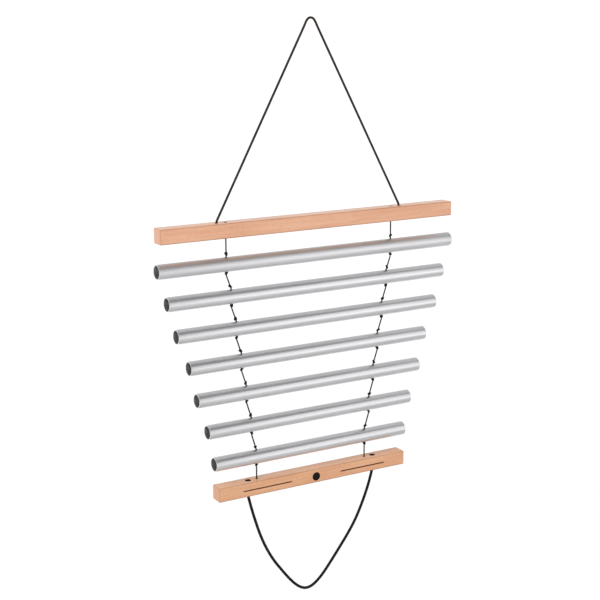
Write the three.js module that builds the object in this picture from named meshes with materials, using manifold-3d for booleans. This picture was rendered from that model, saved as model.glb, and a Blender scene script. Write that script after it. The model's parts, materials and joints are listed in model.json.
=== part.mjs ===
// Hanging tube chime: seven tuned aluminium tubes strung one below the other on two knotted cords,
// between two drilled wooden bars, with a hanging loop above and a hand loop below.
// Millimetres, +Z up, X along the tubes, front at -Y.
// The origin is the point where the hanging loop rests on its hook.

import * as THREE from 'three';
import { mergeVertices } from 'three/addons/utils/BufferGeometryUtils.js';
import Module from 'manifold-3d';

const wasm = await Module();
wasm.setup();

// Tubes: drawn aluminium, each note set by the length of its tube.
const tubeDiameter = 17.2;
const tubeWall = 1;
const tubeRim = 0.25; // bevel on the outer edge of the cut ends
const longestTube = 404;
const scaleSteps = [0, 2, 4, 7, 9, 12, 14]; // semitones above the longest tube: a five-note scale
const firstTubeGap = 21.6; // free height between the first two tubes
const tubeGapGrowth = 0.5; // each gap further down is longer by this
const tubeHoleClearance = 1.5; // cross hole over the cord

// Bars: square strips of beech with eased edges.
const barHeight = 17.5;
const barDepth = 17.5;
const topBarLength = 400;
const bottomBarLength = 265;
const barEdge = 1; // rounding along the length
const barEndEdge = 0.6; // bevel round the end faces
const barHoleClearance = 0.8; // drilled hole over the cord
const rimEase = 0.4; // bevel where a cord leaves the wood
const recessClearance = 0.6; // recess over its knot
const knotSunk = 0.6; // a cord's cut end lies this far inside its recess

// Stringing: where the cords pass, and how far apart they hold the pieces.
const loopHeight = 227; // hook to the upper face of the top bar
const topBarGap = 23.3; // top bar to the first tube
const bottomBarGap = 19.7; // last tube to the bottom bar
const upperCordSpacing = 228; // between the two cords at the top bar and the first tube
const lowerCordSpacing = 155; // between them at the last tube and the bottom bar
const loopHoleOffset = 12; // each loop hole lies this far outside its cord hole

// Cords: a thin one on each side for the tubes, a thicker one for the hanging loop, and the thickest
// for the hand loop, which is pulled and shaken.
const cordDiameter = 1.5;
const cordTail = 1; // cut end beyond a knot
const cordNeck = 1; // from a hole or a knot to the bend of the cord
const loopCordDiameter = 2.5;
const loopCordTail = 2;
const loopCordNeck = 1;
const handLoopCordDiameter = 3.3;
const cordKnotRatio = 2.6; // a tight overhand knot's width over the cord's
const loopCordKnotRatio = 2.4; // the thicker cords are softer and pull tighter
const handLoopCordKnotRatio = 2;
const knotLift = 4; // knot above each tube, measured along the cord
const seamGap = 0.3; // between two lengths of cord that bend against each other, and under a knot

// Routes of the two loops, as x and z of the cord's middle.
// The hanging loop's left half, from the top bar to the hook: straight, then round a thin hook.
const hangingLoopHalf = [
  [-125.34, -224.77],
  [-110, -196.3],
  [-90, -159.2],
  [-70, -122],
  [-50, -84.9],
  [-30, -47.8],
  [-15, -20],
  [-9, -8.8],
  [-5.3, -1.94],
  [-3.97, -0.25],
  [-2.12, 0.86],
];
const hangingLoopApex = [0, 1.25];

// The hand loop between its feet, from left to right, below the middle of the bottom bar's underside.
// It hangs slack, its lowest point a little left of the middle.
const handLoopFree = [
  [-88, -8.5],
  [-86.4, -14.7],
  [-80.4, -35.5],
  [-73.1, -57.1],
  [-66.6, -72.5],
  [-59.4, -86.3],
  [-52.6, -97.3],
  [-45.4, -107.2],
  [-38.3, -116.7],
  [-31.2, -125.5],
  [-24, -133.1],
  [-16.7, -138.9],
  [-9.4, -141.9],
  [-2, -141.4],
  [5.4, -137.7],
  [12.8, -131.7],
  [20.3, -123.8],
  [27.7, -114.9],
  [35.2, -105.6],
  [42.7, -96],
  [50.2, -86.3],
  [57.7, -75.9],
  [65.3, -63.7],
  [72.8, -48.9],
  [80.4, -31.1],
  [86, -15.3],
  [88.1, -8],
];

// Fineness of the round faces.
const tubeSides = 32;
const holeSides = 16;
const cordSides = 8;
const sidesPerArcStep = 2; // a round section takes two sides for each of its steps
const routeStepsPerPoint = 2;
const cornerSteps = 2;
const domePoints = 3;
const knotPoints = 5;
const weldDistance = 1e-4;

const beech = new THREE.MeshStandardMaterial({ color: 0xdfae88, roughness: 0.6, metalness: 0 });
const aluminium = new THREE.MeshStandardMaterial({ color: 0xc9cbcd, roughness: 0.32, metalness: 1 });
const blackCord = new THREE.MeshStandardMaterial({ color: 0x1e1716, roughness: 0.85, metalness: 0 });
const brownCord = new THREE.MeshStandardMaterial({ color: 0x2b1f1a, roughness: 0.8, metalness: 0 });

const cord = { diameter: cordDiameter, knotRatio: cordKnotRatio, tail: cordTail, neck: cordNeck };
const loopCord = {
  diameter: loopCordDiameter,
  knotRatio: loopCordKnotRatio,
  tail: loopCordTail,
  neck: loopCordNeck,
};
const handLoopCord = {
  ...loopCord,
  diameter: handLoopCordDiameter,
  knotRatio: handLoopCordKnotRatio,
};

// A knot seated over a hole: the height of its middle above the rim it rests on.
const knotRadius = (string) => (string.diameter * string.knotRatio) / 2;
const seatOver = (string, holeDiameter) =>
  Math.sqrt((knotRadius(string) + seamGap) ** 2 - (holeDiameter / 2) ** 2);

// The pitch of a bending tube goes with one over its length squared. An octave up shortens the tube
// by the square root of two, and a semitone by the 24th root of two.
const semitonesPerOctave = 12;
const tubeLengths = scaleSteps.map((step) => longestTube * 2 ** (-step / (2 * semitonesPerOctave)));

// Heights, from the hook down.
const topBarFace = -loopHeight;
const topBarUnderside = topBarFace - barHeight;
const tubeRadius = tubeDiameter / 2;
const firstTubeHeight = topBarUnderside - topBarGap - tubeRadius;
const gapsAbove = (i) => i * firstTubeGap + (tubeGapGrowth * i * (i - 1)) / 2;
const tubeHeights = tubeLengths.map((_, i) => firstTubeHeight - i * tubeDiameter - gapsAbove(i));
const bottomBarFace = tubeHeights.at(-1) - tubeRadius - bottomBarGap;
const bottomBarUnderside = bottomBarFace - barHeight;

// Holes: the cords run straight from the first tube to the last, so the spacing narrows evenly.
const tubeHole = cord.diameter + tubeHoleClearance;
const lastTube = tubeLengths.length - 1;
const cordSpacings = tubeLengths.map((_, i) =>
  THREE.MathUtils.lerp(upperCordSpacing, lowerCordSpacing, i / lastTube),
);
const barHole = (string) => string.diameter + barHoleClearance;
const recessDiameter = (string) => 2 * knotRadius(string) + recessClearance;
const recessDepth = (string) =>
  knotSunk + string.tail + knotRadius(string) + seatOver(string, barHole(string));
const stopperReach = seatOver(cord, tubeHole) + knotRadius(cord) + cord.neck;
const handSpacing = lowerCordSpacing + 2 * loopHoleOffset;

const chime = new THREE.Group();

function addPart(name, geometry, material, position = new THREE.Vector3()) {
  const mesh = new THREE.Mesh(geometry, material);
  mesh.name = name;
  mesh.position.copy(position);
  chime.add(mesh);
  return mesh;
}

// Joining and cutting.

function solidOf(geometry) {
  const bare = geometry.clone();
  bare.deleteAttribute('normal');
  bare.deleteAttribute('uv');
  const welded = mergeVertices(bare, weldDistance);
  return new wasm.Manifold(
    new wasm.Mesh({
      numProp: 3,
      vertProperties: new Float32Array(welded.attributes.position.array),
      triVerts: new Uint32Array(welded.index.array),
    }),
  );
}

function geometryOf(solid) {
  const { vertProperties, triVerts } = solid.getMesh();
  const geometry = new THREE.BufferGeometry();
  geometry.setAttribute('position', new THREE.BufferAttribute(vertProperties, 3));
  geometry.setIndex(new THREE.BufferAttribute(triVerts, 1));
  geometry.computeVertexNormals();
  return geometry;
}

// Profiles are lists of radius and height, turned about the Y axis of the lathe.

const profileOf = (pairs) => pairs.map(([radius, height]) => new THREE.Vector2(radius, height));

// Points on a round bead of a profile, between two angles from its widest place.
function beadPoints(radius, middle, fromAngle, toAngle, count) {
  return Array.from({ length: count }, (_, i) => {
    const angle = THREE.MathUtils.lerp(fromAngle, toAngle, i / (count - 1));
    return [radius * Math.max(0, Math.cos(angle)), middle + radius * Math.sin(angle)];
  });
}

// Tubes.

function tubeGeometry(length, holeSpacing) {
  const outer = tubeRadius;
  const inner = tubeRadius - tubeWall;
  const end = length / 2;
  const wall = profileOf([
    [inner, -end],
    [outer - tubeRim, -end],
    [outer, tubeRim - end],
    [outer, end - tubeRim],
    [outer - tubeRim, end],
    [inner, end],
    [inner, -end],
  ]);
  const pipe = new THREE.LatheGeometry(wall, tubeSides).rotateZ(-Math.PI / 2);
  let drilled = solidOf(pipe);
  for (const x of [-holeSpacing / 2, holeSpacing / 2]) {
    const drill = new THREE.CylinderGeometry(tubeHole / 2, tubeHole / 2, 2 * tubeDiameter, holeSides);
    drilled = drilled.subtract(solidOf(drill.rotateX(Math.PI / 2).translate(x, 0, 0)));
  }
  return geometryOf(drilled);
}

tubeLengths.forEach((length, i) => {
  const place = new THREE.Vector3(0, 0, tubeHeights[i]);
  addPart(`tube_${i + 1}`, tubeGeometry(length, cordSpacings[i]), aluminium, place);
});

// Bars.

function easedStrip(length) {
  const section = new THREE.Shape();
  const y = barDepth / 2 - barEdge;
  const z = barHeight / 2 - barEdge;
  const quarter = Math.PI / 2;
  section.absarc(y, z, barEdge, 0, quarter);
  section.absarc(-y, z, barEdge, quarter, 2 * quarter);
  section.absarc(-y, -z, barEdge, 2 * quarter, 3 * quarter);
  section.absarc(y, -z, barEdge, 3 * quarter, 4 * quarter);
  const strip = new THREE.ExtrudeGeometry(section, {
    depth: length - 2 * barEndEdge,
    curveSegments: cornerSteps,
    bevelSize: barEndEdge,
    bevelThickness: barEndEdge,
    bevelOffset: -barEndEdge,
    bevelSegments: cornerSteps,
  });
  strip.translate(0, 0, barEndEdge - length / 2);
  const lieAlongX = new THREE.Matrix4().makeBasis(
    new THREE.Vector3(0, 1, 0),
    new THREE.Vector3(0, 0, 1),
    new THREE.Vector3(1, 0, 0),
  );
  return strip.applyMatrix4(lieAlongX);
}

// The drill for one cord: a through hole, eased where the cord leaves, and a recess for the knot.
function steppedDrill(string) {
  const face = barHeight / 2;
  const beyond = face + barEdge;
  const hole = barHole(string) / 2;
  const recess = recessDiameter(string) / 2;
  const floor = face - recessDepth(string);
  const profile = profileOf([
    [0, -beyond],
    [hole + rimEase, -beyond],
    [hole + rimEase, -face],
    [hole, rimEase - face],
    [hole, floor],
    [recess, floor],
    [recess, beyond],
    [0, beyond],
  ]);
  return new THREE.LatheGeometry(profile, holeSides);
}

// cordRecessUp says whether the thin cords' recesses open upwards; the loop's open the other way.
function barGeometry(length, cordSpacing, loopString, cordRecessUp) {
  const quarter = Math.PI / 2;
  const drills = [
    { string: cord, x: cordSpacing / 2, turn: cordRecessUp ? quarter : -quarter },
    { string: loopString, x: cordSpacing / 2 + loopHoleOffset, turn: cordRecessUp ? -quarter : quarter },
  ];
  let drilled = solidOf(easedStrip(length));
  for (const { string, x, turn } of drills) {
    for (const side of [-1, 1]) {
      const drill = steppedDrill(string).rotateX(turn).translate(side * x, 0, 0);
      drilled = drilled.subtract(solidOf(drill));
    }
  }
  return geometryOf(drilled);
}

const topBarPlace = new THREE.Vector3(0, 0, topBarFace - barHeight / 2);
const bottomBarPlace = new THREE.Vector3(0, 0, bottomBarFace - barHeight / 2);
addPart('top_bar', barGeometry(topBarLength, upperCordSpacing, loopCord, true), beech, topBarPlace);
const bottomBar = barGeometry(bottomBarLength, lowerCordSpacing, handLoopCord, false);
addPart('bottom_bar', bottomBar, beech, bottomBarPlace);

// Straight lengths of cord, rounded where they bend against the next length, some with a knot.
function addStretch(name, string, material, start, end, knotFromStart) {
  const radius = string.diameter / 2;
  const trim = seamGap / 2;
  const direction = end.clone().sub(start).normalize();
  const length = start.distanceTo(end) - seamGap;
  const quarter = Math.PI / 2;
  const profile = beadPoints(radius, radius, -quarter, 0, domePoints);
  if (knotFromStart !== undefined) {
    const meets = Math.acos(radius / knotRadius(string));
    profile.push(...beadPoints(knotRadius(string), knotFromStart - trim, -meets, meets, knotPoints));
  }
  profile.push(...beadPoints(radius, length - radius, 0, quarter, domePoints));
  const turned = new THREE.LatheGeometry(profileOf(profile), cordSides);
  const place = start.clone().addScaledVector(direction, trim);
  const mesh = addPart(name, geometryOf(solidOf(turned)), material, place);
  mesh.quaternion.setFromUnitVectors(new THREE.Vector3(0, 1, 0), direction);
}

for (const [sideName, side] of [['left', -1], ['right', 1]]) {
  const pointAt = (spacing, height) => new THREE.Vector3((side * spacing) / 2, 0, height);

  // The thin cord: knotted in the top bar, through every tube, and knotted in the bottom bar.
  const tailToKnot = cord.tail + knotRadius(cord);
  const headTip = pointAt(upperCordSpacing, topBarFace - knotSunk);
  let bend = pointAt(upperCordSpacing, topBarUnderside - cord.neck);
  addStretch(`cord_head_${sideName}`, cord, brownCord, headTip, bend, tailToKnot);

  tubeHeights.forEach((height, i) => {
    const entry = pointAt(cordSpacings[i], height + tubeRadius);
    const exit = pointAt(cordSpacings[i], height - tubeRadius - stopperReach);
    const knotAbove = bend.distanceTo(entry) - knotLift;
    const knotBelow = tubeDiameter + seatOver(cord, tubeHole);
    addStretch(`span_${i + 1}_${sideName}`, cord, brownCord, bend, entry, knotAbove);
    addStretch(`tube_cord_${i + 1}_${sideName}`, cord, brownCord, entry, exit, knotBelow);
    bend = exit;
  });

  const footBend = pointAt(lowerCordSpacing, bottomBarFace + cord.neck);
  const footTip = pointAt(lowerCordSpacing, bottomBarUnderside + knotSunk);
  addStretch(`span_${tubeHeights.length + 1}_${sideName}`, cord, brownCord, bend, footBend);
  addStretch(`cord_foot_${sideName}`, cord, brownCord, footTip, footBend, tailToKnot);

  // The loops' knotted ends, each up to the bend where its loop starts.
  const hangingTailToKnot = loopCord.tail + knotRadius(loopCord);
  const hangingSpacing = upperCordSpacing + 2 * loopHoleOffset;
  const hangingTip = pointAt(hangingSpacing, topBarUnderside + knotSunk);
  const hangingBend = pointAt(hangingSpacing, topBarFace + loopCord.neck);
  addStretch(`loop_end_${sideName}`, loopCord, blackCord, hangingTip, hangingBend, hangingTailToKnot);
  const handTailToKnot = handLoopCord.tail + knotRadius(handLoopCord);
  const handTip = pointAt(handSpacing, bottomBarFace - knotSunk);
  const handBend = pointAt(handSpacing, bottomBarUnderside - handLoopCord.neck);
  addStretch(`hand_loop_end_${sideName}`, handLoopCord, blackCord, handTip, handBend, handTailToKnot);
}

// The loops: a round section along the chosen route, with rounded ends.

// A smooth curve whose steps fall on the chosen points, so short bends get as many steps as long runs.
class CordRoute extends THREE.CatmullRomCurve3 {
  getPointAt(share, target) {
    return this.getPoint(share, target);
  }

  getTangentAt(share, target) {
    return this.getTangent(share, target);
  }
}

function loopGeometry(routePoints, string) {
  const radius = string.diameter / 2;
  const points = routePoints.map(([x, z]) => new THREE.Vector3(x, 0, z));
  const section = new THREE.Shape().absarc(0, 0, radius, 0, 2 * Math.PI);
  const swept = new THREE.ExtrudeGeometry(section, {
    extrudePath: new CordRoute(points),
    steps: routeStepsPerPoint * (points.length - 1),
    curveSegments: cordSides / sidesPerArcStep,
  });
  let loop = solidOf(swept);
  for (const foot of [points[0], points.at(-1)]) {
    const rounded = new THREE.SphereGeometry(radius, cordSides, cordSides);
    loop = loop.add(solidOf(rounded.translate(foot.x, foot.y, foot.z)));
  }
  return geometryOf(loop);
}

const mirrored = hangingLoopHalf.map(([x, z]) => [-x, z]).reverse();
const hangingLoopRoute = [...hangingLoopHalf, hangingLoopApex, ...mirrored];
addPart('hanging_loop', loopGeometry(hangingLoopRoute, loopCord), blackCord);

// The hand loop's feet hang straight below their holes, clear of the knotted ends' bends.
const handFootDrop = handLoopCord.neck + seamGap / 2 + handLoopCord.diameter / 2;
const handLoopRoute = [
  [-handSpacing / 2, -handFootDrop],
  ...handLoopFree,
  [handSpacing / 2, -handFootDrop],
];
const handLoopPlace = new THREE.Vector3(0, 0, bottomBarUnderside);
addPart('hand_loop', loopGeometry(handLoopRoute, handLoopCord), blackCord, handLoopPlace);

export default chime;
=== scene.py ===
# %% [markdown]
# A hanging tube chime
#
# Seven aluminium tubes hang one below the other on two knotted cords, between two strips of beech.
# A thick cord loop carries the chime from a hook, and a second loop hangs below as a handle.
# The lesson dresses a fixed model of the chime: its pieces keep their places and sizes, and each one
# gets a finer shape and a finish. Lengths are in metres, +Z is up and the front faces -Y.

# %% Load the fixed model
import json
import math

import bmesh
import bpy
import numpy as np
from mathutils import Matrix, Vector


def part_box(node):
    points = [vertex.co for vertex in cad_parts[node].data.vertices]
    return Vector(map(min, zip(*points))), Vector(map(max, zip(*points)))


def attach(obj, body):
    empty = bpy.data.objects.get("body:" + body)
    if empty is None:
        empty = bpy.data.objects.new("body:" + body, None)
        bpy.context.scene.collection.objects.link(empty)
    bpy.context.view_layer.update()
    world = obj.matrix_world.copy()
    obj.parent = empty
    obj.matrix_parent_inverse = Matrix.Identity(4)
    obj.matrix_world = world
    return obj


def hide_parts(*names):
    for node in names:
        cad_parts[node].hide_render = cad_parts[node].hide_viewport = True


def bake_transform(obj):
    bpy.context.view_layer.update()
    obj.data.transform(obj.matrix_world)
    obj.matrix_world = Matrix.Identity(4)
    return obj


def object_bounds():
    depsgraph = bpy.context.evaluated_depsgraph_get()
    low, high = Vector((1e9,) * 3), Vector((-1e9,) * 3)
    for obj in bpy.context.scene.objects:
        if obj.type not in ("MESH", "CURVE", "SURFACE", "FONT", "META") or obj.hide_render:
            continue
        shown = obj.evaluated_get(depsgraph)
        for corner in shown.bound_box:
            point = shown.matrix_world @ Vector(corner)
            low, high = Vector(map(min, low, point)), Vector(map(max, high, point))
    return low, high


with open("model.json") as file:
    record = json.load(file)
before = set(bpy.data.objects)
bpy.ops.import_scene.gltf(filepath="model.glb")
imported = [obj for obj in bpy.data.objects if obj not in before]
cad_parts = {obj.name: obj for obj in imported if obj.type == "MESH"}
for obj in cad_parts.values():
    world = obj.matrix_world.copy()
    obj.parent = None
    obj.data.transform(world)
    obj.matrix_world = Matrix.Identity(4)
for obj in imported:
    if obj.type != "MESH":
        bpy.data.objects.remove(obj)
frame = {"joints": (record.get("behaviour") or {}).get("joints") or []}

cad_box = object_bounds()
hinge_height = {joint["name"]: joint["pos_m"][2] for joint in frame["joints"]}

# %% [markdown]
# The camera stands where the photographer stood: left of the chime, a little above the hook, looking
# down and to the right. Its place and angles were worked out from the edges of the bars and tubes, so
# the picture's lines run as they do in the photograph. A rotation built from the camera's own right,
# up and back directions is easier to read than three turned angles.

# %% Camera
CAMERA_PLACE = Vector((-0.7957, -1.3405, 0.0268))
CAMERA_TURN = math.radians(30.195)
CAMERA_DOWN = math.radians(12.962)
CAMERA_ROLL = math.radians(-0.236)
CAMERA_LENS_MM = 79.6


def camera_rotation(turn, down, roll):
    ahead = Vector((math.sin(turn) * math.cos(down), math.cos(turn) * math.cos(down), -math.sin(down)))
    right = Vector((math.cos(turn), -math.sin(turn), 0))
    up = right.cross(ahead)
    rolled_right = right * math.cos(roll) + up * math.sin(roll)
    rolled_up = up * math.cos(roll) - right * math.sin(roll)
    return Matrix((rolled_right, rolled_up, -ahead)).transposed()


def in_scene(name, data):
    """An object with this data, put into the scene."""
    thing = bpy.data.objects.new(name, data)
    bpy.context.collection.objects.link(thing)
    return thing


camera = in_scene("camera", bpy.data.cameras.new("camera"))
camera.location = CAMERA_PLACE
camera.rotation_euler = camera_rotation(CAMERA_TURN, CAMERA_DOWN, CAMERA_ROLL).to_euler()
camera.data.lens = CAMERA_LENS_MM
bpy.context.scene.camera = camera
print("camera", [round(x, 3) for x in camera.location], "lens", camera.data.lens)

# %% [markdown]
# Node trees appear all through this lesson, for shapes and for finishes. Two small helpers keep them
# short: one adds a node with its settings and inputs, and an input is either a plain value or the
# output of another node. The other does arithmetic. A colour is written as it looks on a screen, from
# 0 to 255, and turned into the linear values that Blender works with.

# %% Helpers for node trees


def add_node(tree, kind, inputs=None, **settings):
    node = tree.nodes.new(kind)
    for name, value in settings.items():
        setattr(node, name, value)
    for key, value in (inputs or {}).items():
        socket = node.inputs[key]
        if isinstance(value, bpy.types.NodeSocket):
            tree.links.new(value, socket)
        else:
            socket.default_value = value
    return node


def calc(tree, operation, first, second=0.0, third=0.0):
    inputs = {0: first, 1: second, 2: third}
    return add_node(tree, "ShaderNodeMath", inputs, operation=operation).outputs[0]


def screen_colour(red, green, blue):
    def linear(value):
        value /= 255
        return value / 12.92 if value <= 0.04045 else ((value + 0.055) / 1.055) ** 2.4

    return (linear(red), linear(green), linear(blue), 1.0)


print("mid grey is", round(screen_colour(128, 128, 128)[0], 3), "in linear light")

# %% [markdown]
# A finish is a Principled shader with a few textures in front of it. These helpers make an empty
# finish, a noise that is stretched differently along each axis, a ramp from a value to a shade, and a
# mix of two colours. Every texture reads Object coordinates, so a pattern stays on its piece. A noise
# keeps near its middle: nearly all of it lies in the first of the two ranges, most of it in the second.

# %% Helpers for finishes
NOISE_RANGE, NOISE_CORE = (0.3, 0.7), (0.35, 0.65)


def new_finish(name, **values):
    finish = bpy.data.materials.new(name)
    finish.use_nodes = True
    tree = finish.node_tree
    shader = tree.nodes["Principled BSDF"]
    for socket_name, value in values.items():
        shader.inputs[socket_name.replace("_", " ")].default_value = value
    return finish, tree, shader


def stretched_place(tree, per_metre):
    place = add_node(tree, "ShaderNodeTexCoord").outputs["Object"]
    return add_node(tree, "ShaderNodeMapping", {"Vector": place, "Scale": per_metre}).outputs["Vector"]


def stretched_noise(tree, per_metre, detail=3.0, roughness=0.55):
    inputs = {"Vector": stretched_place(tree, per_metre), "Scale": 1.0, "Detail": detail}
    noise = add_node(tree, "ShaderNodeTexNoise", inputs)
    noise.inputs["Roughness"].default_value = roughness
    return noise.outputs["Fac"]


def ramp(tree, value, low, high, low_shade=0.0, high_shade=1.0):
    inputs = {0: value, 1: low, 2: high, 3: low_shade, 4: high_shade}
    return add_node(tree, "ShaderNodeMapRange", inputs, clamp=True).outputs[0]


def mix_colours(tree, share, first, second):
    inputs = {0: share, 6: first, 7: second}
    return add_node(tree, "ShaderNodeMix", inputs, data_type="RGBA").outputs[2]


def mix_values(tree, share, first, second):
    shares = calc(tree, "MULTIPLY", first, 1.0 - share), calc(tree, "MULTIPLY", second, share)
    return calc(tree, "ADD", *shares)


def paint(tree, shader, colour, roughness):
    tree.links.new(colour, shader.inputs["Base Color"])
    tree.links.new(roughness, shader.inputs["Roughness"])


def bump(tree, shader, height, strength, distance):
    inputs = {"Height": height, "Strength": strength, "Distance": distance}
    node = add_node(tree, "ShaderNodeBump", inputs)
    tree.links.new(node.outputs["Normal"], shader.inputs["Normal"])


print("noise ranges", NOISE_RANGE, NOISE_CORE)

# %% [markdown]
# The cords come first, because everything hangs on them. The fixed model says where the thin cords
# pass: the box of each length of cord gives its place across, and each hinge gives the height of a
# bend. The two thick loops follow points that were chosen along the photograph's cords, and the
# hand loop's heights count from the underside of its bar. A cut end stands out a little beyond its
# knot, and a short neck leads from a knot to a bend.

# %% Where the cords run
SIDES = ("left", "right")
TUBE_NAMES = [f"tube_{number}" for number in range(1, 8)]
THIN_CORD, HANGING_CORD, HAND_CORD = 0.0015, 0.0025, 0.0033
THIN_CUT_END, LOOP_CUT_END = 0.001, 0.002
NECK = 0.001
KNOT_ABOVE_TUBE = 0.004

HANGING_LOOP_HALF = [
    (-0.12534, -0.22477), (-0.110, -0.1963), (-0.090, -0.1592), (-0.070, -0.1220), (-0.050, -0.0849),
    (-0.030, -0.0478), (-0.015, -0.0200), (-0.009, -0.0088), (-0.0053, -0.00194), (-0.00397, -0.00025),
    (-0.00212, 0.00086),
]
HANGING_LOOP_APEX = (0.0, 0.00125)
HAND_LOOP = [
    (-0.0895, -0.0028), (-0.0880, -0.0085), (-0.0864, -0.0147), (-0.0804, -0.0355), (-0.0731, -0.0571),
    (-0.0666, -0.0725), (-0.0594, -0.0863), (-0.0526, -0.0973), (-0.0454, -0.1072), (-0.0383, -0.1167),
    (-0.0312, -0.1255), (-0.0240, -0.1331), (-0.0167, -0.1389), (-0.0094, -0.1419), (-0.0020, -0.1414),
    (0.0054, -0.1377), (0.0128, -0.1317), (0.0203, -0.1238), (0.0277, -0.1149), (0.0352, -0.1056),
    (0.0427, -0.0960), (0.0502, -0.0863), (0.0577, -0.0759), (0.0653, -0.0637), (0.0728, -0.0489),
    (0.0804, -0.0311), (0.0860, -0.0153), (0.0881, -0.0080), (0.0895, -0.0028),
]


def middle(node):
    low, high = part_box(node)
    return (low + high) / 2


def size(node):
    low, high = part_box(node)
    return high - low


hanging_loop_route = [
    *HANGING_LOOP_HALF,
    HANGING_LOOP_APEX,
    *[(-x, z) for x, z in reversed(HANGING_LOOP_HALF)],
]
hand_loop_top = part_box("bottom_bar")[0].z
print("hanging loop points", len(hanging_loop_route), "hand loop points", len(HAND_LOOP))

# %% [markdown]
# Each cord is stopped by overhand knots. A knot could be a bead, but a real one shows its turns when
# the eye comes near. So the knot is tied here: a loose overhand knot is drawn as an opened trefoil
# curve, and is then shortened again and again while the cord pushes itself apart wherever it would
# lie in itself. After several hundred rounds it has pulled itself tight, as a thumb and finger would.
# All sizes of a knot are in cord widths, and each stage of the work has a step along the cord and a
# number of rounds. A soft cord squeezes flat in its knot, so the thicker cords' knots are drawn smaller
# for their width.

# %% Tie an overhand knot
KNOT_REACH, KNOT_BODY, KNOT_FADE = 3.2, 1.2, 1.5
KNOT_STAGES = ((0.5, 160), (0.4, 200), (0.3, 200), (0.25, 260))
KNOT_PULL, KNOT_CONTACT, KNOT_PUSHES, NEIGHBOURS = 0.4, 0.92, 4, 1.5
TREFOIL_OPENING, TREFOIL_DEPTH, TAIL_BELOW = 0.35, 1.6, 0.9


def even_line(points, spacing):
    points = np.asarray(points, float)
    steps = np.linalg.norm(np.diff(points, axis=0), axis=1)
    along = np.concatenate([[0.0], np.cumsum(steps)])
    count = max(2, round(along[-1] / spacing)) + 1
    wanted = np.linspace(0.0, along[-1], count)
    return np.stack([np.interp(wanted, along, points[:, axis]) for axis in range(3)], axis=1)


def loose_knot():
    turn = np.linspace(math.pi + TREFOIL_OPENING, 3 * math.pi - TREFOIL_OPENING, 200)
    across = np.sin(turn) + 2 * np.sin(2 * turn)
    along = np.cos(turn) - 2 * np.cos(2 * turn)
    deep = -TREFOIL_DEPTH * np.sin(3 * turn)
    loops = np.stack([across, along, deep], axis=1)
    level = loops[0, 1] - TAIL_BELOW
    tail = np.array([(KNOT_REACH, level, 0), (1.6, level, 0), (0.8, level + 0.2, 0)])
    return np.concatenate([tail, loops, tail[::-1] * (-1, 1, 1)])


def push_apart(points, spacing, contact):
    place = np.arange(len(points))
    not_neighbours = np.abs(place[:, None] - place) * spacing > NEIGHBOURS * contact
    for _ in range(KNOT_PUSHES):
        gap = points[:, None] - points[None]
        far = np.linalg.norm(gap, axis=2) + 1e-9
        push = np.where(not_neighbours & (far < contact), (contact - far) / far / 2, 0.0)
        crowd = np.clip((push > 0).sum(1), 1, 2)[:, None]
        moved = (gap * push[..., None]).sum(1) / crowd
        moved[[0, -1]] = 0
        points = points + moved
    return points


def tight_knot(contact):
    line = loose_knot()
    for spacing, rounds in KNOT_STAGES:
        for _ in range(rounds):
            line = even_line(line, spacing)
            line[1:-1] += KNOT_PULL * (line[:-2] + line[2:] - 2 * line[1:-1])
            line = push_apart(line, spacing, contact)
    knot = np.stack([line[:, 1] - line[0, 1], line[:, 2], -line[:, 0]], axis=1)
    body = knot[np.abs(knot[:, 2]) < KNOT_BODY]
    fade = np.clip((KNOT_REACH - np.abs(knot[:, 2])) / KNOT_FADE, 0, 1)[:, None]
    knot[:, :2] -= (body.max(0) + body.min(0))[:2] / 2 * fade
    return knot


SQUEEZE = {THIN_CORD: 0.87, HANGING_CORD: 0.80, HAND_CORD: 0.62}
knot_line = tight_knot(KNOT_CONTACT)
for diameter, squeeze in SQUEEZE.items():
    width = (np.ptp(knot_line[:, :2], axis=0).max() * squeeze + 1) * diameter
    print("cord", diameter, "knot width", round(width, 5))

# %% [markdown]
# A cord's line is put together from straight stretches, some with a knot on them. The knot's own axis
# is turned to the stretch, and each knot gets another turn about it, from a fixed seed, because no two
# knots are tied alike.

# %% Lay out the thin cords
KNOT_MARGIN, THIN_STEP = 0.0002, 0.00025
turns = np.random.default_rng(seed=4)


def knotted_stretch(start, end, knot_from_start, diameter):
    start, end = Vector(start), Vector(end)
    direction = (end - start).normalized()
    if knot_from_start is None:
        return [tuple(start), tuple(end)]
    facing = direction.to_track_quat("Z", "Y").to_matrix()
    spin = Matrix.Rotation(turns.uniform(0, 2 * math.pi), 3, "Z")
    centre = start + direction * knot_from_start
    knot = [centre + facing @ (spin @ Vector(point)) for point in knot_line * diameter * SQUEEZE[diameter]]
    length = (end - start).length
    ahead = [(point - start).dot(direction) for point in knot]
    inside = [point for point, far in zip(knot, ahead) if KNOT_MARGIN < far < length - KNOT_MARGIN]
    return [tuple(start), *[tuple(point) for point in inside], tuple(end)]


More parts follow.
